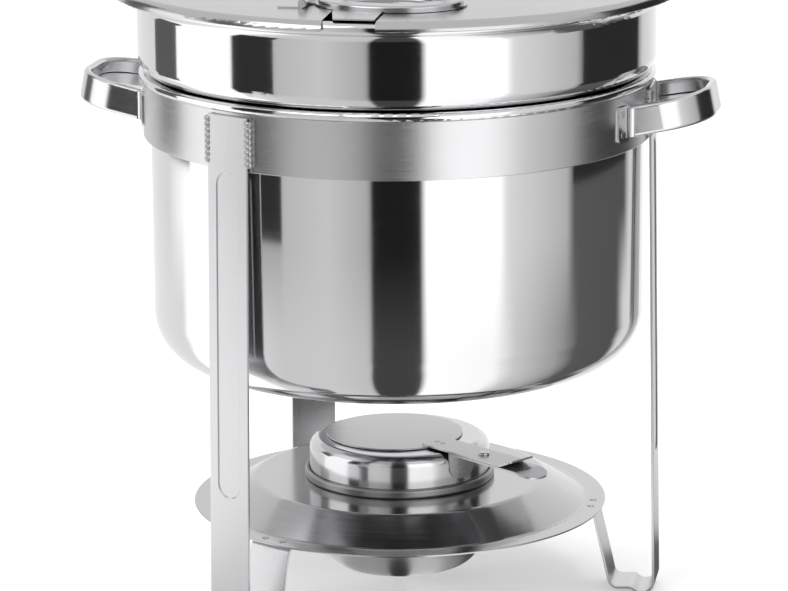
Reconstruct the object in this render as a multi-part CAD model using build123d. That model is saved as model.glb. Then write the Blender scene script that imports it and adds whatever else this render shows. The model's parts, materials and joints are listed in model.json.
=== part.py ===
from build123d import *
import os
from math import asin, atan2, degrees, sqrt

# Soup kettle on a three-legged stand with a fuel burner, in millimetres.
# The origin is on the floor under the axis of the pots.  +Z is up, +X runs through the
# right-hand handle and the right-hand leg, and -Y is the side of the lid's ladle slot.

# --- driving dimensions ------------------------------------------------------------
SHEET = 0.8               # pots, lid and burner are drawn from this sheet
FIT_GAP = 0.1             # air between parts that rest on each other

RING_RADIUS = 150.0       # outside of the stand's ring
RING_THICK = 1.5
RING_BOTTOM = 276.8
RING_TOP = 310.2
RING_EDGE_ROUND = 0.5

LEG_COUNT = 3
LEG_WIDTH = 29.0
LEG_THICK = 1.6
LEG_TOP = 307.4
LEG_SPREAD = 4.6          # how far the leg leans out between its top and its foot
LEG_EDGE_ROUND = 0.35
FOOT_REST_IN = 145.8      # inner end of the stretch that stands on the floor
FOOT_STEP = 2.8
FOOT_HEEL = 129.6
TAIL_BEND = 118.9         # where the leg turns in under the shelf
TAIL_END = 109.0
RIB_WIDTH = 17.0
RIB_DEPTH = 0.6
RIB_SINK = 0.05            # how far a rib's tool starts on the outer side of the face it shapes
RIB_TOP = 276.2
RIB_BOTTOM = 85.0
WELD_RADIUS = 2.0
WELD_RIPPLE = 0.5
WELD_PITCH = 3.3

HANDLE_OUT = 190.0        # how far the handles reach from the axis
HANDLE_BEARING = -3.0     # degrees from the right-hand leg to the right-hand handle
HANDLE_SPAN = 84.0        # across a handle's two arms at the ring, outside to outside
HANDLE_TAPER = 5.0        # how far each arm runs in towards the outer end
HANDLE_CORNER = 30.0
HANDLE_TALL = 18.0
HANDLE_DEEP = 4.6
HANDLE_TILT = 11.0        # degrees, outer end up
HANDLE_SEAM = 1.4
HANDLE_HEIGHT = 293.8
HANDLE_PIVOT = 146.0
FOOT_WIDE = 13.0
FOOT_TALL = 21.0
FOOT_THICK = 1.2
FOOT_OFF_AXIS = 48.3
FOOT_CORNER = 3.0
FOOT_BEND = 3.5
SPOT_RADIUS = 2.1
SPOT_PROUD = 0.25

SHELF_RADIUS = 124.0
SHELF_THICK = 1.0
SHELF_FLANGE_TOP = 51.4
SHELF_RISE = 13.8
CONE_OUT = 112.0
CONE_IN = 87.0
SHELF_HOLE = 51.0
SHELF_SPOT_OUT = 116.6     # spot welds over each leg's tail
SHELF_SPOT_OFF = 6.5

CUP_RADIUS = 50.0
CUP_BOTTOM = 11.2
CUP_CORNER = 16.0
CUP_BEAD_RADIUS = 57.0
CUP_BEAD_TALL = 4.4
COVER_RADIUS = 54.2
COVER_TOP = 89.4
COVER_CORNER = 6.5
COVER_HOLE = 33.0

SNUFFER_BEARING = -38.0   # degrees, direction from the burner's axis to the rivet
RIVET_REACH = 73.0
DISC_RADIUS = 41.0
DISC_OFF_AXIS = 4.4       # the disc sits this far beyond the burner's axis, seen from the rivet
DISC_THICK = 0.9
STRIP_WIDTH = 20.0
STRIP_THICK = 1.1
LEVER_START = 29.0
LEVER_END = 96.0
LEVER_TAB = 9.0
LEVER_TAB_RISE = 4.0
BRACKET_END = 121.0
BRACKET_TAB_BOTTOM = 73.9
RIVET_RADIUS = 1.7
RIVET_HEAD = 3.3
RIVET_CLEARANCE = 0.08

PAN_RADIUS = 145.5
PAN_BOTTOM = 140.4
PAN_CORNER = 30.0
PAN_BEAD_RADIUS = 152.4
PAN_BEAD_TALL = 5.0

POT_RADIUS = 138.0
POT_BOTTOM = 161.4
POT_CORNER = 28.0
COLLAR_RADIUS = 152.5
COLLAR_SHOULDER = 9.0
COLLAR_FLARE = 6.4
RIM_RADIUS = 166.0
RIM_BOTTOM = 360.4
RIM_TOP = 368.2

LID_RADIUS = 169.0
LID_SKIRT_BOTTOM = 363.4
LID_CORNER = 4.5
SLOT_WIDTH = 30.0
LADLE_HOLE_LONG = 35.0    # half axes of the oval ladle hole
LADLE_HOLE_SHORT = 23.0
FLAP_LONG = 43.0          # half axes of the flap's oval
FLAP_SHORT = 31.0
FLAP_X = 14.0
FLAP_Y = -107.0
FLAP_RISE = 3.4
FLAP_ROUND = 1.4
DISH_LONG = 30.5
DISH_SHORT = 18.5
DISH_DEPTH = 4.6
TONGUE_LEFT = -13.5
TONGUE_TIP_LEFT = -9.0
TONGUE_RIGHT = 14.2
TONGUE_TIP = 164.5
FLAP_PIN_X = -33.0
FLAP_PIN_RADIUS = 1.25
KNUCKLE_RADIUS = 2.4
KNUCKLE_LENGTH = 12.4
KNUCKLE_GAP = 0.4
PIN_CLEARANCE = 0.05
LEAF_LONG = 14.0

GRIP_SPAN = 92.0          # lid handle, foot to foot
GRIP_RISE = 46.0
GRIP_WIDTH = 20.0
GRIP_THICK = 1.8
GRIP_CORNER = 18.0
GRIP_FOOT = 15.0

# --- heights that follow from the ones above ----------------------------------------
LID_TOP = RIM_TOP + FIT_GAP + SHEET
PAN_BEAD_BOTTOM = RING_TOP + FIT_GAP
PAN_BEAD_TOP = PAN_BEAD_BOTTOM + PAN_BEAD_TALL
PLATEAU_TOP = SHELF_FLANGE_TOP + SHELF_RISE
CUP_FLANGE_TOP = PLATEAU_TOP + SHEET
DISC_BOTTOM = COVER_TOP + 0.3
LEVER_BOTTOM = DISC_BOTTOM + DISC_THICK
BRACKET_TOP = LEVER_BOTTOM - 0.2
BRACKET_BOTTOM = BRACKET_TOP - STRIP_THICK
FLAP_BOTTOM = LID_TOP + 0.3
FLAP_PIN_Z = LID_TOP + KNUCKLE_RADIUS + 0.3


# --- helpers ---------------------------------------------------------------------------
def sheet_section(points, radii, thickness):
    """Face of a bent sheet seen edge on, with rounded edges, in the XZ plane.

    points are the middle of the sheet as (across, up), radii the bends between them.
    """
    middle = FilletPolyline(*points, radius=radii)
    outline = Wire(middle.edges()).offset_2d(thickness / 2, side=Side.BOTH)
    return Plane.XZ * make_face(outline)


def half_plane():
    """The part of the XZ plane on the +X side of the axis."""
    return Plane.XZ * Pos(500, 250) * Rectangle(1000, 1000)


def turned(points, radii, thickness=SHEET):
    """Sheet shell turned about the vertical axis."""
    section = sheet_section(points, radii, thickness) & half_plane()
    return revolve(section, axis=Axis.Z)


def bent_strip(points, radii, thickness, width):
    """Flat strip bent in the XZ plane, its width along Y."""
    return extrude(sheet_section(points, radii, thickness), amount=width / 2, both=True)


def upright_drum(radius, bottom, top):
    """Solid cylinder on the vertical axis."""
    align = (Align.CENTER, Align.CENTER, Align.MIN)
    return Pos(0, 0, bottom) * Cylinder(radius, top - bottom, align=align)


def oval_block(half_long, half_short, bottom, top):
    """Upright oval block on the vertical axis, its long axis along X."""
    return Pos(0, 0, bottom) * extrude(Ellipse(half_long, half_short), amount=top - bottom)


def around(angle, shape):
    """Shape turned about the vertical axis, angle in degrees."""
    return Rot(0, 0, angle) * shape


def spot(radius_from_axis, angle, height, depth=1.5):
    """Round weld mark standing on an upright cylindrical face."""
    mark = Cylinder(SPOT_RADIUS, depth, align=(Align.CENTER, Align.CENTER, Align.MIN))
    proud = radius_from_axis + SPOT_PROUD - depth
    mark = fillet(mark.faces().sort_by(Axis.Z)[-1].edges(), 0.2)
    lying = Pos(proud, 0, height) * Rot(0, 90, 0) * mark
    return around(angle, lying) - upright_drum(radius_from_axis, height - 5, height + 5)


def flat_spot(radius, proud):
    """Round weld mark standing on a level face at the origin."""
    return Cylinder(radius, proud, align=(Align.CENTER, Align.CENTER, Align.MIN))


def write(name, *pieces):
    """Write one node: a solid, or a group of separate solids."""
    solids = [solid for piece in pieces for solid in piece.solids()]
    shape = solids[0] if len(solids) == 1 else Compound(children=solids)
    shape.label = name
    export_step(shape, "parts/" + name + ".step")


# --- stand -----------------------------------------------------------------------------
def stand_ring():
    """Band that carries the water pan."""
    outer = upright_drum(RING_RADIUS, RING_BOTTOM, RING_TOP)
    ring = outer - upright_drum(RING_RADIUS - RING_THICK, RING_BOTTOM - 1, RING_TOP + 1)
    return fillet(ring.edges().filter_by(GeomType.CIRCLE), RING_EDGE_ROUND)


def leg_path():
    """Middle of the leg strip as (radius, height) and its bends."""
    half = LEG_THICK / 2
    top = RING_RADIUS + half
    tail_height = SHELF_FLANGE_TOP - SHELF_THICK - half
    points = [
        (top, LEG_TOP),
        (top + LEG_SPREAD, half),
        (FOOT_REST_IN, half),
        (FOOT_REST_IN - 4.0, half + FOOT_STEP),
        (FOOT_HEEL, half + FOOT_STEP - 0.7),
        (TAIL_BEND, tail_height),
        (TAIL_END, tail_height),
    ]
    radii = [7.0, 4.0, 4.0, 6.0, 5.5]
    return points, radii


def leg_rib():
    """Long shallow ribbed panel that is pressed into the leg, lying along +Z."""
    length = RIB_TOP - RIB_BOTTOM
    sketch = Plane.YZ * Rot(0, 0, 90) * SlotOverall(length, RIB_WIDTH)
    return extrude(sketch, amount=RIB_DEPTH + RIB_SINK, taper=50)


def leg():
    """One leg on the +X side: strip, foot and tail under the shelf."""
    points, radii = leg_path()
    strip = bent_strip(points, radii, LEG_THICK, LEG_WIDTH)
    sides = strip.faces().sort_by(Axis.Y)
    strip = fillet(sides[0].edges() + sides[-1].edges(), LEG_EDGE_ROUND)
    (top_x, top_z), (foot_x, foot_z) = points[0], points[1]
    middle = (RIB_TOP + RIB_BOTTOM) / 2
    lean = degrees(atan2(foot_x - top_x, top_z - foot_z))
    across = top_x + (foot_x - top_x) * (top_z - middle) / (top_z - foot_z)
    centre = Pos(across, 0, middle) * Rot(0, -lean, 0)
    bulge = centre * Pos(RIB_SINK - LEG_THICK / 2, 0, 0) * Rot(0, 180, 0) * leg_rib()
    recess = centre * Pos(RIB_SINK + LEG_THICK / 2, 0, 0) * Rot(0, 180, 0) * leg_rib()
    return strip + bulge - recess


def weld_bead(bottom, top):
    """Rippled run of weld standing on the origin's vertical."""
    count = round((top - bottom) / WELD_PITCH)
    pitch = (top - bottom) / count
    axis_low = Line((0, bottom), (WELD_RADIUS, bottom))
    ripples = [
        ThreePointArc(
            (WELD_RADIUS, bottom + k * pitch),
            (WELD_RADIUS + WELD_RIPPLE, bottom + (k + 0.5) * pitch),
            (WELD_RADIUS, bottom + (k + 1) * pitch),
        )
        for k in range(count)
    ]
    axis_high = Line((WELD_RADIUS, top), (0, top))
    closing = Line((0, top), (0, bottom))
    outline = Plane.XZ * make_face(Wire([axis_low, *ripples, axis_high, closing]))
    return revolve(outline, axis=Axis.Z)


def leg_welds(one_leg):
    """Weld runs down both edges of each leg where it meets the ring."""
    groups = []
    bottom, top = RING_BOTTOM + 3, LEG_TOP - 1
    clear = upright_drum(RING_RADIUS, bottom - 1, top + 1)
    for side in (-1, 1):
        bead = Pos(RING_RADIUS + 0.4, side * (LEG_WIDTH / 2 + 0.2), 0) * weld_bead(bottom, top)
        bead = bead - clear - one_leg
        biggest = bead.solids().sort_by(SortBy.VOLUME)[-1]
        groups += [around(leg_angle(k), biggest) for k in range(LEG_COUNT)]
    return groups


def leg_angle(index):
    """Bearing of a leg."""
    return index * 360 / LEG_COUNT


# --- side handles ----------------------------------------------------------------------
def handle_strap():
    """Hollow bent strap with its open seam on the finger side."""
    half_tall = HANDLE_TALL / 2 - SHEET / 2
    inner = SHEET / 2
    outer = HANDLE_DEEP - SHEET / 2
    bend = HANDLE_DEEP / 2 - SHEET / 2 - 0.05
    points = [
        (inner, -HANDLE_SEAM / 2),
        (inner, -half_tall),
        (outer, -half_tall),
        (outer, half_tall),
        (inner, half_tall),
        (inner, HANDLE_SEAM / 2),
    ]
    section = sheet_section(points, [bend] * 4, SHEET)
    arm = HANDLE_SPAN / 2 - HANDLE_DEEP
    reach = HANDLE_OUT - HANDLE_DEEP
    start = RING_RADIUS - 14
    end = arm - HANDLE_TAPER
    path = FilletPolyline(
        (start, arm, 0), (reach, end, 0), (reach, -end, 0), (start, -arm, 0),
        radius=HANDLE_CORNER - HANDLE_DEEP,
    )
    lean = degrees(atan2(HANDLE_TAPER, reach - start))
    placed = Pos(start, arm, 0) * Rot(0, 0, 90 - lean) * section
    return sweep(placed, path=Wire(path.edges()))


def handle_foot(side):
    """Curved plate that lies on the ring, with the bend into the strap."""
    angle = side * degrees(asin(FOOT_OFF_AXIS / RING_RADIUS))
    low, high = HANDLE_HEIGHT - FOOT_TALL, HANDLE_HEIGHT + FOOT_TALL
    shell = upright_drum(RING_RADIUS + FOOT_THICK, low, high) - upright_drum(RING_RADIUS, low, high)
    blank = Plane.YZ * RectangleRounded(FOOT_WIDE, FOOT_TALL, FOOT_CORNER)
    cutter = around(angle, Pos(RING_RADIUS - 10, 0, HANDLE_HEIGHT) * extrude(blank, amount=20))
    plate = shell & cutter
    bend_y = HANDLE_SPAN / 2 + FOOT_BEND
    from_axis = RING_RADIUS + FOOT_THICK + FOOT_BEND
    bend_x = sqrt(from_axis ** 2 - bend_y ** 2)
    corner = Pos(bend_x, side * (bend_y - 0.5), HANDLE_HEIGHT)
    block = corner * Box(8, 11, HANDLE_TALL - 1.5, align=(Align.MAX, Align.CENTER, Align.CENTER))
    hollow = Pos(bend_x, side * bend_y, HANDLE_HEIGHT) * Cylinder(FOOT_BEND, FOOT_TALL + 4)
    keep = Pos(0, side * (HANDLE_SPAN / 2 + 1.2), 0) * Box(400, 6.0, 800)
    neck = (block & keep) - hollow - upright_drum(RING_RADIUS, low, high)
    neck = neck.solids().sort_by(Axis.Y)[0 if side > 0 else -1]
    return plate + neck


def right_handle():
    """Handle on the +X side, turned a little towards the front."""
    lift = Pos(HANDLE_PIVOT, 0, HANDLE_HEIGHT) * Rot(0, -HANDLE_TILT, 0) * Pos(-HANDLE_PIVOT, 0, 0)
    strap = lift * handle_strap() - upright_drum(RING_RADIUS, RING_BOTTOM - 30, RING_TOP + 30)
    return around(HANDLE_BEARING, strap + handle_foot(1) + handle_foot(-1))


def handle_spots():
    """Two spot welds on each handle foot, one above the other."""
    bearing = degrees(asin((FOOT_OFF_AXIS + 1.6) / RING_RADIUS))
    face = RING_RADIUS + FOOT_THICK
    marks = []
    for base in (HANDLE_BEARING, HANDLE_BEARING + 180):
        for angle in (base - bearing, base + bearing):
            for height in (-6.0, 6.0):
                marks.append(spot(face, angle, HANDLE_HEIGHT + height))
    return marks


# --- burner shelf ------------------------------------------------------------------------
def burner_shelf():
    """Round tray under the pan with a raised middle and a hole for the burner."""
    half = SHELF_THICK / 2
    low, high = SHELF_FLANGE_TOP - half, PLATEAU_TOP - half
    points = [
        (SHELF_HOLE + half, high),
        (CONE_IN, high),
        (CONE_OUT, low),
        (SHELF_RADIUS - half, low),
    ]
    return turned(points, [6.0, 6.0], SHELF_THICK)


def shelf_spots():
    """Two spot welds over each leg's tail."""
    marks = []
    for k in range(LEG_COUNT):
        for side in (-1, 1):
            place = Pos(SHELF_SPOT_OUT, side * SHELF_SPOT_OFF, SHELF_FLANGE_TOP)
            marks.append(around(leg_angle(k), place * flat_spot(SPOT_RADIUS, SPOT_PROUD)))
    return marks


# --- burner --------------------------------------------------------------------------------
def burner_cup():
    """Cup that hangs in the shelf's hole and holds the fuel tin."""
    half = SHEET / 2
    wall = CUP_RADIUS - half
    flange = PLATEAU_TOP + half
    bead = CUP_BEAD_RADIUS - half
    points = [
        (-5, CUP_BOTTOM + half),
        (wall, CUP_BOTTOM + half),
        (wall, flange),
        (bead, flange),
        (bead, flange + CUP_BEAD_TALL),
        (bead - 1.6, flange + CUP_BEAD_TALL),
    ]
    return turned(points, [CUP_CORNER, 0.8, 1.0, 0.75])


def burner_cover():
    """Cover over the fuel tin with a round opening in its top."""
    half = SHEET / 2
    wall = COVER_RADIUS - half
    points = [
        (wall, CUP_FLANGE_TOP + FIT_GAP + half),
        (wall, COVER_TOP - half),
        (COVER_HOLE + half, COVER_TOP - half),
    ]
    return turned(points, [COVER_CORNER])


def strip_plan(start, end, start_corner, end_corner):
    """Outline of a strip along +X with rounded corners at each end."""
    half = STRIP_WIDTH / 2
    points = [(start, -half), (end, -half), (end, half), (start, half)]
    radii = [start_corner, end_corner, end_corner, start_corner]
    return make_face(FilletPolyline(*points, radius=radii, close=True).edges())


def snuffer_bracket():
    """Tab welded to the cover's side, folded out into the arm that carries the rivet."""
    tall = BRACKET_TOP - BRACKET_TAB_BOTTOM
    outside = COVER_RADIUS + STRIP_THICK
    shell = upright_drum(outside, BRACKET_TAB_BOTTOM, BRACKET_TOP)
    shell -= upright_drum(COVER_RADIUS, BRACKET_TAB_BOTTOM - 1, BRACKET_TOP + 1)
    blank = Plane.YZ * RectangleRounded(STRIP_WIDTH, 2 * tall, 8.0)
    tab = shell & (Pos(40, 0, BRACKET_TOP) * extrude(blank, amount=20))
    middle = (BRACKET_TOP + BRACKET_BOTTOM) / 2
    points = [(COVER_RADIUS - 3, middle), (BRACKET_END - 12, middle), (BRACKET_END, middle - 2.4)]
    arm = bent_strip(points, [14.0], STRIP_THICK, STRIP_WIDTH)
    plan = Pos(0, 0, BRACKET_BOTTOM - 10) * extrude(strip_plan(40, BRACKET_END, 1, 9.0), amount=20)
    arm = (arm & plan) - upright_drum(COVER_RADIUS, BRACKET_BOTTOM - 5, BRACKET_TOP + 5)
    hole = Pos(RIVET_REACH, 0, BRACKET_BOTTOM) * Cylinder(RIVET_RADIUS, 20)
    return around(SNUFFER_BEARING, tab + arm - hole)


def bracket_spots():
    """Two spot welds on the bracket's tab."""
    face = COVER_RADIUS + STRIP_THICK
    heights = (BRACKET_TAB_BOTTOM + 3.8, BRACKET_TAB_BOTTOM + 9.6)
    return [spot(face, SNUFFER_BEARING - 2.5, height) for height in heights]


def snuffer_rivet():
    """Rivet that the snuffer's lever swings on."""
    shank_top = LEVER_BOTTOM + STRIP_THICK + 0.15
    dome = Pos(0, 0, shank_top) * flat_spot(RIVET_HEAD, 1.3)
    dome = fillet(dome.faces().sort_by(Axis.Z)[-1].edges(), 1.0)
    tail = Pos(0, 0, BRACKET_BOTTOM) * Cylinder(2.8, 0.9, align=(Align.CENTER, Align.CENTER, Align.MAX))
    shank = upright_drum(RIVET_RADIUS, BRACKET_BOTTOM - 0.4, shank_top + 0.4)
    return around(SNUFFER_BEARING, Pos(RIVET_REACH, 0, 0) * (dome + tail + shank))


def snuffer_disc():
    """Flat plate that closes the cover's opening."""
    disc = upright_drum(DISC_RADIUS, DISC_BOTTOM, DISC_BOTTOM + DISC_THICK)
    disc = fillet(disc.edges().filter_by(GeomType.CIRCLE), 0.3)
    return around(SNUFFER_BEARING, Pos(-DISC_OFF_AXIS, 0, 0) * disc)


def snuffer_lever():
    """Strip on the disc that swings on the rivet, with its end turned up as a finger tab."""
    middle = LEVER_BOTTOM + STRIP_THICK / 2
    end = LEVER_END + LEVER_TAB
    points = [(LEVER_START - 5, middle), (LEVER_END, middle), (end, middle + LEVER_TAB_RISE)]
    strip = bent_strip(points, [8.0], STRIP_THICK, STRIP_WIDTH)
    plan = Pos(0, 0, LEVER_BOTTOM - 10) * extrude(strip_plan(LEVER_START, end, 3.0, 2.0), amount=30)
    hole_radius = RIVET_RADIUS + RIVET_CLEARANCE
    hole = Pos(RIVET_REACH, 0, LEVER_BOTTOM) * Cylinder(hole_radius, 20)
    return around(SNUFFER_BEARING, (strip & plan) - hole)


def snuffer_spots():
    """Spot welds that hold the lever to the disc."""
    top = LEVER_BOTTOM + STRIP_THICK
    marks = []
    for reach in (LEVER_START + 3.6, LEVER_START + 8.6):
        marks.append(around(SNUFFER_BEARING, Pos(reach, 0, top) * flat_spot(1.6, 0.2)))
    return marks


# --- pots ----------------------------------------------------------------------------------
def water_pan():
    """Water pan that hangs in the ring by its rolled rim."""
    half = SHEET / 2
    wall = PAN_RADIUS - half
    bead = PAN_BEAD_RADIUS - half
    low, high = PAN_BEAD_BOTTOM + half, PAN_BEAD_TOP - half
    points = [
        (-5, PAN_BOTTOM + half),
        (wall, PAN_BOTTOM + half),
        (wall, high),
        (bead, high),
        (bead, low),
        (bead - 4.4, low),
    ]
    return turned(points, [PAN_CORNER, 1.6, 1.8, 1.8])


def soup_insert():
    """Soup pot with the tall collar that stands on the pan's rim."""
    half = SHEET / 2
    wall = POT_RADIUS - half
    collar = COLLAR_RADIUS - half
    rim = RIM_RADIUS - half
    shoulder = PAN_BEAD_TOP
    points = [
        (-5, POT_BOTTOM + half),
        (wall, POT_BOTTOM + half),
        (wall, shoulder),
        (collar, shoulder),
        (collar, RIM_BOTTOM + half),
        (rim, RIM_BOTTOM + half),
        (rim, RIM_TOP - half),
        (rim - 7.0, RIM_TOP - half),
        (rim - 7.0, RIM_BOTTOM + 2.6),
    ]
    radii = [POT_CORNER, 3.0, COLLAR_SHOULDER, COLLAR_FLARE, 3.2, 3.2, 3.0]
    return turned(points, radii)


# --- lid -----------------------------------------------------------------------------------
def lid_shell():
    """Flat lid with a rounded skirt, a ladle slot and an oval ladle hole."""
    half = SHEET / 2
    skirt = LID_RADIUS - half
    points = [(-5, LID_TOP - half), (skirt, LID_TOP - half), (skirt, LID_SKIRT_BOTTOM + half)]
    lid = turned(points, [LID_CORNER])
    length = LID_RADIUS + FLAP_Y + 6
    slot = Box(SLOT_WIDTH, length, 30, align=(Align.CENTER, Align.MAX, Align.CENTER))
    slot = fillet(slot.edges().filter_by(Axis.Z), 2.0)
    hole = oval_block(LADLE_HOLE_LONG, LADLE_HOLE_SHORT, LID_TOP - 5, LID_TOP + 5)
    return lid - Pos(0, FLAP_Y, LID_TOP) * slot - Pos(FLAP_X, FLAP_Y, 0) * hole


def lid_grip():
    """Bow handle in the middle of the lid."""
    half = GRIP_THICK / 2
    low, high = LID_TOP + half, LID_TOP + GRIP_RISE - half
    inside = GRIP_SPAN / 2 - GRIP_FOOT
    points = [
        (-GRIP_SPAN / 2, low), (-inside, low), (-inside + 4, high),
        (inside - 4, high), (inside, low), (GRIP_SPAN / 2, low),
    ]
    radii = [4.0, GRIP_CORNER, GRIP_CORNER, 4.0]
    return bent_strip(points, radii, GRIP_THICK, GRIP_WIDTH)


def grip_spots():
    """Two spot welds on each foot of the lid's handle."""
    marks = []
    for side in (-1, 1):
        for off in (-5.0, 5.0):
            place = Pos(side * (GRIP_SPAN / 2 - 6.0), off, LID_TOP + GRIP_THICK)
            marks.append(place * flat_spot(SPOT_RADIUS, SPOT_PROUD))
    return marks


def knuckle(y_start, y_end, bore):
    """Hinge knuckle along Y around the flap's pin."""
    barrel = Cylinder(KNUCKLE_RADIUS, y_end - y_start) - Cylinder(bore, y_end - y_start + 2)
    return Pos(FLAP_PIN_X, (y_start + y_end) / 2, FLAP_PIN_Z) * Rot(90, 0, 0) * barrel


def knuckle_places():
    """Start and end along Y of the three knuckles: lid, flap, lid."""
    step = KNUCKLE_LENGTH + KNUCKLE_GAP
    first = FLAP_Y - 1.5 * step + KNUCKLE_GAP / 2
    return [(first + k * step, first + k * step + KNUCKLE_LENGTH) for k in range(3)]


def hinge_leaf():
    """Leaf on the lid that carries the outer two knuckles."""
    places = knuckle_places()
    leaf = None
    for start, end in (places[0], places[2]):
        foot = Pos(FLAP_PIN_X, (start + end) / 2, LID_TOP)
        behind = (Align.MAX, Align.CENTER, Align.MIN)
        plate = foot * Box(LEAF_LONG, end - start, SHEET, align=behind)
        web = foot * Box(KNUCKLE_RADIUS, end - start, FLAP_PIN_Z - LID_TOP, align=behind)
        on_pin = Pos(FLAP_PIN_X, (start + end) / 2, FLAP_PIN_Z) * Rot(90, 0, 0)
        bore = on_pin * Cylinder(FLAP_PIN_RADIUS, 40)
        piece = plate + (web - bore) + knuckle(start, end, FLAP_PIN_RADIUS)
        leaf = piece if leaf is None else leaf + piece
    low, high = places[0][0], places[2][1]
    back = Pos(FLAP_PIN_X - 5.0, (low + high) / 2, LID_TOP) * Box(
        LEAF_LONG - 5.0, high - low, SHEET, align=(Align.MAX, Align.CENTER, Align.MIN)
    )
    return leaf + back


def hinge_pin():
    """Pin of the flap's hinge with its two upset ends."""
    places = knuckle_places()
    low, high = places[0][0], places[2][1]
    pin = Cylinder(FLAP_PIN_RADIUS, high - low)
    heads = Pos(0, 0, (high - low) / 2) * flat_spot(1.9, 0.8)
    heads += Pos(0, 0, -(high - low) / 2) * Rot(180, 0, 0) * flat_spot(1.9, 0.8)
    return Pos(FLAP_PIN_X, (low + high) / 2, FLAP_PIN_Z) * Rot(90, 0, 0) * (pin + heads)


def flap_plate_outline():
    """Plan of the flap's plate: the oval, the tongue in the slot and the strap to the hinge."""
    oval = Pos(FLAP_X, FLAP_Y) * Ellipse(FLAP_LONG, FLAP_SHORT)
    tongue = make_face(Polyline(
        (TONGUE_LEFT, FLAP_Y), (TONGUE_RIGHT, FLAP_Y), (TONGUE_RIGHT, -TONGUE_TIP),
        (TONGUE_TIP_LEFT, -TONGUE_TIP), (TONGUE_LEFT, -TONGUE_TIP + 24), close=True,
    ).edges())
    return oval + tongue


def ladle_flap():
    """Flap over the ladle hole: plate with a raised oval, a finger dish and its hinge knuckle."""
    plate = Pos(0, 0, FLAP_BOTTOM) * extrude(flap_plate_outline(), amount=SHEET)
    top = FLAP_BOTTOM + FLAP_RISE
    place = Pos(FLAP_X, FLAP_Y, 0)
    raised = oval_block(FLAP_LONG - 2, FLAP_SHORT - 2, FLAP_BOTTOM, top)
    raised = fillet(raised.faces().sort_by(Axis.Z)[-1].edges(), FLAP_ROUND)
    dish_outer = oval_block(DISH_LONG + SHEET, DISH_SHORT + SHEET, top - DISH_DEPTH - SHEET, top - 0.2)
    dish_outer = fillet(dish_outer.faces().sort_by(Axis.Z)[0].edges(), FLAP_ROUND + SHEET)
    dish_inner = oval_block(DISH_LONG, DISH_SHORT, top - DISH_DEPTH, top + 5)
    dish_inner = fillet(dish_inner.faces().sort_by(Axis.Z)[0].edges(), FLAP_ROUND)
    hollow = oval_block(FLAP_LONG - 2 - SHEET, FLAP_SHORT - 2 - SHEET, FLAP_BOTTOM - 1, top - SHEET)
    hollow -= oval_block(DISH_LONG + SHEET, DISH_SHORT + SHEET, FLAP_BOTTOM - 2, top)
    flap = plate + place * raised + place * dish_outer - place * hollow - place * dish_inner
    start, end = knuckle_places()[1]
    strap_high = FLAP_PIN_Z - KNUCKLE_RADIUS + SHEET
    strap = Pos(FLAP_PIN_X, (start + end) / 2, strap_high) * Box(
        14, end - start, SHEET, align=(Align.MIN, Align.CENTER, Align.MAX)
    )
    bore = FLAP_PIN_RADIUS + PIN_CLEARANCE
    bored = Pos(FLAP_PIN_X, (start + end) / 2, FLAP_PIN_Z) * Rot(90, 0, 0) * Cylinder(bore, 40)
    return flap + strap + knuckle(start, end, bore) - bored


# --- the whole kettle -------------------------------------------------------------------------
os.makedirs("parts", exist_ok=True)

one_leg = leg()
leg_names = ("leg_right", "leg_rear_left", "leg_front_left")
for index, name in enumerate(leg_names):
    write(name, around(leg_angle(index), one_leg))
write("stand_ring", stand_ring())
write("leg_welds", *leg_welds(one_leg))

handle = right_handle()
write("handle_right", handle)
write("handle_left", around(180, handle))
write("handle_spot_welds", *handle_spots())

write("burner_shelf", burner_shelf())
write("shelf_spot_welds", *shelf_spots())
write("burner_cup", burner_cup())
write("burner_cover", burner_cover())
write("snuffer_bracket", snuffer_bracket())
write("bracket_spot_welds", *bracket_spots())
write("snuffer_rivet", snuffer_rivet())
write("snuffer_disc", snuffer_disc())
write("snuffer_lever", snuffer_lever())
write("snuffer_spot_welds", *snuffer_spots())

write("water_pan", water_pan())
write("soup_insert", soup_insert())
write("lid_shell", lid_shell())
write("lid_grip", lid_grip())
write("grip_spot_welds", *grip_spots())
write("flap_hinge_leaf", hinge_leaf())
write("flap_hinge_pin", hinge_pin())
write("ladle_flap", ladle_flap())
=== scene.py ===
import json
import math

import bpy
from mathutils import Matrix, Vector

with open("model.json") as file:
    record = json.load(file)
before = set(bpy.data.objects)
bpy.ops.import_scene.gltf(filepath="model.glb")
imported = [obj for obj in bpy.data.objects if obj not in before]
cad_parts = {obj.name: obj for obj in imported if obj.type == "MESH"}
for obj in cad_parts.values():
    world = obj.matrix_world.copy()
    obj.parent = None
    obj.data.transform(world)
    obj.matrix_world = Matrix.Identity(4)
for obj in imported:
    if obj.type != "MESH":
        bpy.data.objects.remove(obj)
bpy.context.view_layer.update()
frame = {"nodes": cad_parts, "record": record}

nodes = frame["nodes"]

# --- camera ------------------------------------------------------------------------------
CAMERA_AZIMUTH = 9.2         # degrees round from the front, towards +X
CAMERA_DISTANCE = 2.300      # metres, level
CAMERA_HEIGHT = 0.7339
CAMERA_PITCH = 13.65         # degrees down
CAMERA_ROLL = -0.38
CAMERA_ASIDE = 0.070         # degrees that the camera looks to the left of the kettle's axis
CAMERA_LENS = 181.05
SENSOR = 36.0

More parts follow.
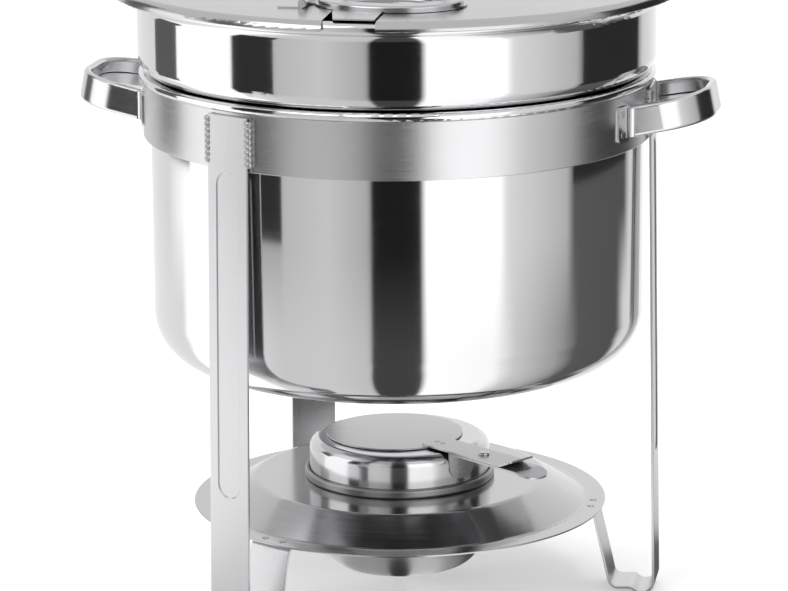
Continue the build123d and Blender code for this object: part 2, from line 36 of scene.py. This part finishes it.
# --- studio ------------------------------------------------------------------------------
TENT_RADIUS = 0.50
TENT_BLEND = (0.085, 0.150)  # heights between which the low cards give way to the high ones
TENT_HEIGHT = 0.47
TENT_FOOT = 0.001            # just clear of the floor
DARK_CARD_GAP = 0.01         # dark cards stand this far inside the tent
DARK_CARDS = (               # start, end in degrees to the right; bottom, top; brightness
    (-117.0, -98.0, 0.19, 0.60, 0.13),
    (-65.5, -47.0, 0.155, 0.60, 0.035),
    (76.0, 116.0, 0.185, 0.60, 0.03),
)
FLOOR_SIZE = 14.0
FLOOR_GREY = 0.60
FLOOR_GLOW = 0.42            # keeps the floor as white as its surroundings
WORLD_GLOW = 0.85
OVERHEAD_POWER = 42.0        # watts
FRONT_POWER = 16.0


def place_camera():
    """Long lens in front of the kettle, looking a little down."""
    data = bpy.data.cameras.new("camera")
    data.lens = CAMERA_LENS
    data.sensor_width = SENSOR
    data.clip_start = 0.05
    data.clip_end = 60.0
    camera = bpy.data.objects.new("camera", data)
    bpy.context.scene.collection.objects.link(camera)
    azimuth = math.radians(CAMERA_AZIMUTH)
    place = Vector((math.sin(azimuth), -math.cos(azimuth), 0.0)) * CAMERA_DISTANCE
    place.z = CAMERA_HEIGHT
    turn = Matrix.Rotation(azimuth + math.radians(CAMERA_ASIDE), 4, "Z")
    tilt = Matrix.Rotation(math.radians(90.0 - CAMERA_PITCH), 4, "X")
    roll = Matrix.Rotation(math.radians(CAMERA_ROLL), 4, "Z")
    camera.matrix_world = Matrix.Translation(place) @ turn @ tilt @ roll
    bpy.context.scene.camera = camera


# --- shader helpers ------------------------------------------------------------------------
class Shader:
    """Short calls for building one material's node tree."""

    def __init__(self, name):
        self.material = bpy.data.materials.new(name)
        self.material.use_nodes = True
        self.tree = self.material.node_tree
        self.tree.nodes.clear()
        self.surface = self.add("ShaderNodeBsdfPrincipled")
        self.output = self.add("ShaderNodeOutputMaterial")
        self.link(self.surface.outputs["BSDF"], self.output.inputs["Surface"])
        coordinates = self.add("ShaderNodeTexCoord")
        self.place = coordinates.outputs["Object"]

    def add(self, kind):
        return self.tree.nodes.new(kind)

    def link(self, start, end):
        self.tree.links.new(start, end)

    def math(self, operation, first, second=None):
        """One sum; each term is a number or a socket."""
        node = self.add("ShaderNodeMath")
        node.operation = operation
        for socket, value in zip(node.inputs, (first, second)):
            if value is None:
                continue
            if isinstance(value, (int, float)):
                socket.default_value = value
            else:
                self.link(value, socket)
        return node.outputs[0]

    def stretched(self, scale, turn=0.0):
        """Object coordinates scaled by axis, for grain that runs along the small one."""
        mapping = self.add("ShaderNodeMapping")
        mapping.inputs["Scale"].default_value = scale
        mapping.inputs["Rotation"].default_value = (0.0, 0.0, math.radians(turn))
        self.link(self.place, mapping.inputs["Vector"])
        return mapping.outputs["Vector"]

    def turned_grain(self, along, across):
        """Coordinates for grain that runs round the vertical axis, on walls and flats alike."""
        split = self.add("ShaderNodeSeparateXYZ")
        self.link(self.place, split.inputs[0])
        square_x = self.math("MULTIPLY", split.outputs["X"], split.outputs["X"])
        square_y = self.math("MULTIPLY", split.outputs["Y"], split.outputs["Y"])
        distance = self.math("SQRT", self.math("ADD", square_x, square_y))
        outward = self.math("ADD", distance, split.outputs["Z"])
        join = self.add("ShaderNodeCombineXYZ")
        self.link(self.math("MULTIPLY", split.outputs["X"], along), join.inputs["X"])
        self.link(self.math("MULTIPLY", split.outputs["Y"], along), join.inputs["Y"])
        self.link(self.math("MULTIPLY", outward, across), join.inputs["Z"])
        return join.outputs[0]

    def noise(self, vector, scale=1.0, detail=4.0, roughness=0.6):
        node = self.add("ShaderNodeTexNoise")
        node.inputs["Scale"].default_value = scale
        node.inputs["Detail"].default_value = detail
        node.inputs["Roughness"].default_value = roughness
        self.link(vector, node.inputs["Vector"])
        return node.outputs["Fac"]

    def between(self, value, low, high, start=0.3, end=0.7):
        """Value from start..end mapped to low..high."""
        node = self.add("ShaderNodeMapRange")
        node.inputs["From Min"].default_value = start
        node.inputs["From Max"].default_value = end
        node.inputs["To Min"].default_value = low
        node.inputs["To Max"].default_value = high
        self.link(value, node.inputs["Value"])
        return node.outputs["Result"]

    def colour(self, value, dark, light):
        """Base colour from dark to light as the value rises."""
        node = self.add("ShaderNodeMix")
        node.data_type = "RGBA"
        node.inputs["A"].default_value = (*dark, 1.0)
        node.inputs["B"].default_value = (*light, 1.0)
        self.link(self.between(value, 0.0, 1.0), node.inputs["Factor"])
        self.link(node.outputs["Result"], self.surface.inputs["Base Color"])

    def bump(self, height, distance):
        """Height texture, its full range being distance in metres."""
        node = self.add("ShaderNodeBump")
        node.inputs["Strength"].default_value = 1.0
        node.inputs["Distance"].default_value = distance
        self.link(height, node.inputs["Height"])
        self.link(node.outputs["Normal"], self.surface.inputs["Normal"])

    def set(self, **values):
        """Constants on the surface's own sockets."""
        for name, value in values.items():
            self.surface.inputs[name.replace("_", " ")].default_value = value


def steel(name, colour, roughness, grain, grain_depth,
          spread=0.04, smudge=0.03, anisotropy=0.0, contrast=0.06):
    """Stainless steel: grain in one direction, faint smudges, uneven roughness.

    grain gives the texture coordinates from a Shader; spread is the roughness either way of its mean.
    """
    s = Shader(name)
    light = tuple(c * (1.0 + contrast) for c in colour)
    dark = tuple(c * (1.0 - contrast) for c in colour)
    lines = s.noise(grain(s), detail=5.0, roughness=0.65)
    patches = s.noise(s.place, scale=14.0, detail=3.0)
    s.colour(lines, dark, light)
    uneven = s.between(lines, roughness - spread, roughness + spread)
    smear = s.between(patches, 0.0, smudge, 0.45, 0.75)
    s.link(s.math("ADD", uneven, smear), s.surface.inputs["Roughness"])
    s.bump(lines, grain_depth)
    s.set(Metallic=1.0, Anisotropic=anisotropy)
    return s


# --- materials -------------------------------------------------------------------------------
def ring_brushed():
    """Ring: brushed round its circumference."""
    s = steel("ring_brushed", (0.60, 0.60, 0.61), 0.23,
              lambda s: s.turned_grain(14.0, 5200.0), 0.0000025,
              anisotropy=0.75, contrast=0.02)
    tangent = s.add("ShaderNodeTangent")
    tangent.direction_type = "RADIAL"
    tangent.axis = "Z"
    s.link(tangent.outputs["Tangent"], s.surface.inputs["Tangent"])
    return s.material


def leg_satin():
    """Legs: satin strip, grain along the strip."""
    return steel("leg_satin", (0.60, 0.60, 0.61), 0.30,
                 lambda s: s.stretched((2400.0, 2400.0, 22.0)), 0.000003,
                 spread=0.05, contrast=0.03).material


def rear_leg_painted_shade():
    """Rear leg: the back of the strip, marked across, in a much darker colour that is painted shade from
    the kettle above it.
    """
    return steel("rear_leg_painted_shade", (0.19, 0.19, 0.20), 0.34,
                 lambda s: s.stretched((60.0, 60.0, 900.0)), 0.000004,
                 spread=0.06, contrast=0.12).material


def weld_bare():
    """Weld metal: lumpy, a little darker."""
    return steel("weld_bare", (0.46, 0.45, 0.44), 0.34,
                 lambda s: s.stretched((900.0, 900.0, 900.0)), 0.00012, spread=0.10).material


def handle_polished():
    """Handles: polished strap with fine rubbing marks."""
    return steel("handle_polished", (0.66, 0.66, 0.67), 0.19,
                 lambda s: s.stretched((160.0, 160.0, 1400.0)), 0.000001,
                 spread=0.03, contrast=0.015).material


def shelf_polished():
    """Shelf: polished with fine turning marks round the axis."""
    return steel("shelf_polished", (0.50, 0.50, 0.505), 0.15,
                 lambda s: s.turned_grain(12.0, 1800.0), 0.0000015, contrast=0.02).material


def pot_mirror():
    """Pots: near mirror polish."""
    return steel("pot_mirror", (0.70, 0.70, 0.71), 0.075,
                 lambda s: s.turned_grain(30.0, 2600.0), 0.0000004,
                 spread=0.02, contrast=0.01).material


def lid_satin():
    """Lid: satin, turned round the axis."""
    return steel("lid_satin", (0.53, 0.53, 0.54), 0.20,
                 lambda s: s.turned_grain(16.0, 2000.0), 0.000002, spread=0.05, contrast=0.02).material


def burner_polished():
    """Burner: polished pressings with turning marks."""
    return steel("burner_polished", (0.62, 0.62, 0.63), 0.13,
                 lambda s: s.turned_grain(12.0, 1800.0), 0.0000012, spread=0.03, contrast=0.02).material


def burner_cup_satin():
    """Cup that holds the tin: dull drawn steel with turning marks."""
    return steel("burner_cup_satin", (0.33, 0.33, 0.33), 0.32,
                 lambda s: s.turned_grain(10.0, 1500.0), 0.000002, spread=0.05, contrast=0.04).material


def spot_marks():
    """Spot welds: a faint ring of heat on the sheet."""
    return steel("spot_marks", (0.52, 0.515, 0.505), 0.30,
                 lambda s: s.stretched((700.0, 700.0, 700.0)), 0.00001).material


def snuffer_brushed():
    """Snuffer: brushed flat strip and disc."""
    return steel("snuffer_brushed", (0.56, 0.56, 0.57), 0.30,
                 lambda s: s.stretched((24.0, 2200.0, 2200.0), turn=38.0), 0.00001,
                 spread=0.05).material


def rivet_bright():
    """Rivet and hinge pin."""
    return steel("rivet_bright", (0.60, 0.60, 0.60), 0.22,
                 lambda s: s.stretched((500.0, 500.0, 500.0)), 0.00001).material


def paint_nodes():
    """Every CAD node takes the material of its slot, apart from a few with a look of their own."""
    makers = [ring_brushed, leg_satin, weld_bare, handle_polished, shelf_polished,
              pot_mirror, lid_satin, burner_polished, snuffer_brushed, rivet_bright]
    finish = {maker.__name__: maker() for maker in makers}
    # The rear leg's steel is darkened with painted shade, not given a finish of its own.
    own = {"burner_cup": burner_cup_satin(), "leg_back": rear_leg_painted_shade()}
    marks = spot_marks()
    own.update({name: marks for name in nodes if name.endswith("_spot_welds")})
    for part in frame["record"]["subparts"]:
        node = nodes[part["node"]]
        node.data.materials.clear()
        node.data.materials.append(own.get(part["node"], finish[part["material_slot"]]))


# --- studio ------------------------------------------------------------------------------------
def floor():
    """Wide pale floor."""
    half = FLOOR_SIZE / 2
    mesh = bpy.data.meshes.new("floor")
    corners = [(-half, -half, 0), (half, -half, 0), (half, half, 0), (-half, half, 0)]
    mesh.from_pydata(corners, [], [(0, 1, 2, 3)])
    sheet = bpy.data.objects.new("floor", mesh)
    bpy.context.scene.collection.objects.link(sheet)
    material = bpy.data.materials.new("floor_white")
    material.use_nodes = True
    surface = material.node_tree.nodes["Principled BSDF"]
    surface.inputs["Base Color"].default_value = (FLOOR_GREY, FLOOR_GREY, FLOOR_GREY, 1.0)
    surface.inputs["Emission Color"].default_value = (1.0, 1.0, 1.0, 1.0)
    surface.inputs["Emission Strength"].default_value = FLOOR_GLOW
    surface.inputs["Roughness"].default_value = 0.7
    surface.inputs["Specular IOR Level"].default_value = 0.1
    mesh.materials.append(material)


def card_ramp(tree, share, cards, top):
    """Ramp round the tent: (degrees right of the camera, brightness) joined by straight lines."""
    ramp = tree.nodes.new("ShaderNodeValToRGB")
    tree.links.new(share, ramp.inputs["Fac"])
    points = ramp.color_ramp.elements
    for angle, level in cards[1:-1]:
        point = points.new((angle + 180.0) / 360.0)
        point.color = (level / top, level / top, level / top, 1.0)
    for point, (angle, level) in ((points[0], cards[0]), (points[-1], cards[-1])):
        point.color = (level / top, level / top, level / top, 1.0)
    return ramp.outputs["Color"]


def tent_light(low_cards, high_cards):
    """Glow of the tent's wall, with one set of cards near the floor and another above it."""
    s = Shader("tent_light")
    tree = s.tree
    split = s.add("ShaderNodeSeparateXYZ")
    s.link(s.place, split.inputs[0])
    turn = s.math("ARCTAN2", split.outputs["X"], s.math("MULTIPLY", split.outputs["Y"], -1.0))
    share = s.between(turn, 0.0, 1.0, -math.pi, math.pi)
    top = max(level for _, level in low_cards + high_cards)
    mix = s.add("ShaderNodeMix")
    mix.data_type = "RGBA"
    s.link(s.between(split.outputs["Z"], 0.0, 1.0, *TENT_BLEND), mix.inputs["Factor"])
    s.link(card_ramp(tree, share, low_cards, top), mix.inputs["A"])
    s.link(card_ramp(tree, share, high_cards, top), mix.inputs["B"])
    light = s.add("ShaderNodeEmission")
    light.inputs["Strength"].default_value = top
    s.link(mix.outputs["Result"], light.inputs["Color"])
    s.link(light.outputs[0], s.output.inputs["Surface"])
    tree.nodes.remove(s.surface)
    return s.material


def glossy_only(item):
    """Keeps an object in reflections and takes it out of everything else."""
    item.visible_camera = False
    item.visible_shadow = False
    item.visible_diffuse = False
    item.visible_transmission = False
    item.visible_volume_scatter = False


def curved_wall(name, radius, start, end, bottom, top, steps):
    """Upright curved wall; angles in degrees to the right of the camera, seen from the kettle."""
    points = []
    for k in range(steps + 1):
        angle = math.radians(start + (end - start) * k / steps)
        for height in (bottom, top):
            points.append((radius * math.sin(angle), -radius * math.cos(angle), height))
    faces = [(2 * k, 2 * k + 2, 2 * k + 3, 2 * k + 1) for k in range(steps)]
    return cards_object(name, points, faces)


def cards_object(name, points, faces):
    """Mesh of cards, turned so that its front looks at the camera's side."""
    mesh = bpy.data.meshes.new(name)
    mesh.from_pydata(points, [], faces)
    item = bpy.data.objects.new(name, mesh)
    bpy.context.scene.collection.objects.link(item)
    item.rotation_euler = (0.0, 0.0, math.radians(CAMERA_AZIMUTH))
    glossy_only(item)
    return item


def plain_glow(name, level):
    """Even grey glow."""
    s = Shader(name)
    light = s.add("ShaderNodeEmission")
    light.inputs["Color"].default_value = (level, level, level, 1.0)
    s.link(light.outputs[0], s.output.inputs["Surface"])
    s.tree.nodes.remove(s.surface)
    return s.material


def tent():
    """Round wall of white and black cards, and their ends on the floor, that only reflections see."""
    high_cards = [
        (-180.0, 1.0), (-119.0, 0.9), (-102.0, 1.45), (-67.0, 1.6),
        (-65.0, 0.50), (-48.0, 0.55), (-46.5, 0.66), (-28.0, 0.78), (-11.4, 0.55), (-10.4, 0.015),
        (9.3, 0.015), (10.3, 1.7), (40.0, 1.6), (44.0, 0.95), (73.0, 0.60), (77.0, 0.13),
        (115.0, 0.11), (121.0, 0.8), (150.0, 1.1), (180.0, 1.0),
    ]
    low_cards = [
        (-180.0, 1.0), (-106.0, 0.95), (-102.0, 1.5), (-67.0, 1.5), (-63.0, 0.95), (-48.0, 0.80),
        (-28.0, 0.82), (-11.4, 0.72), (-10.4, 0.07), (9.3, 0.07), (10.3, 1.45), (38.0, 1.35),
        (48.0, 0.80), (70.0, 0.42), (80.0, 0.13), (108.0, 0.11), (115.0, 0.85), (150.0, 1.1),
        (180.0, 1.0),
    ]
    cards = tent_light(low_cards, high_cards)
    wall = curved_wall("tent", TENT_RADIUS, -180.0, 180.0, TENT_FOOT, TENT_HEIGHT, 180)
    turns = [math.radians(2 * k) for k in range(180)]
    rim = [(TENT_RADIUS * math.sin(turn), -TENT_RADIUS * math.cos(turn), TENT_FOOT) for turn in turns]
    ground = cards_object("tent_ground", rim, [list(range(len(rim)))])
    wall.data.materials.append(cards)
    ground.data.materials.append(cards)
    for number, (start, end, bottom, top, level) in enumerate(DARK_CARDS):
        dark = curved_wall(f"dark_card_{number}", TENT_RADIUS - DARK_CARD_GAP, start, end, bottom, top, 12)
        dark.data.materials.append(plain_glow(f"dark_card_{number}", level))


def softbox(name, place, target, size, power):
    """Soft area light."""
    data = bpy.data.lights.new(name, "AREA")
    data.shape = "RECTANGLE"
    data.size, data.size_y = size
    data.energy = power
    lamp = bpy.data.objects.new(name, data)
    bpy.context.scene.collection.objects.link(lamp)
    lamp.location = place
    direction = Vector(target) - Vector(place)
    lamp.rotation_euler = direction.to_track_quat("-Z", "Y").to_euler()
    return lamp


def studio():
    """White surroundings, a soft light overhead, a fill from the front left, floor and cards."""
    world = bpy.data.worlds.new("surroundings")
    world.use_nodes = True
    background = world.node_tree.nodes["Background"]
    background.inputs["Color"].default_value = (1.0, 1.0, 1.0, 1.0)
    background.inputs["Strength"].default_value = WORLD_GLOW
    bpy.context.scene.world = world
    overhead = softbox("overhead", (-0.3, 0.4, 2.2), (0.0, 0.0, 0.2), (2.4, 2.0), OVERHEAD_POWER)
    front = softbox("front", (-1.2, -2.0, 1.6), (0.0, 0.0, 0.2), (1.6, 1.4), FRONT_POWER)
    overhead.visible_camera = False
    overhead.visible_glossy = False
    front.visible_camera = False
    floor()
    tent()
    bpy.context.scene.view_settings.view_transform = "Standard"


place_camera()
paint_nodes()
studio()
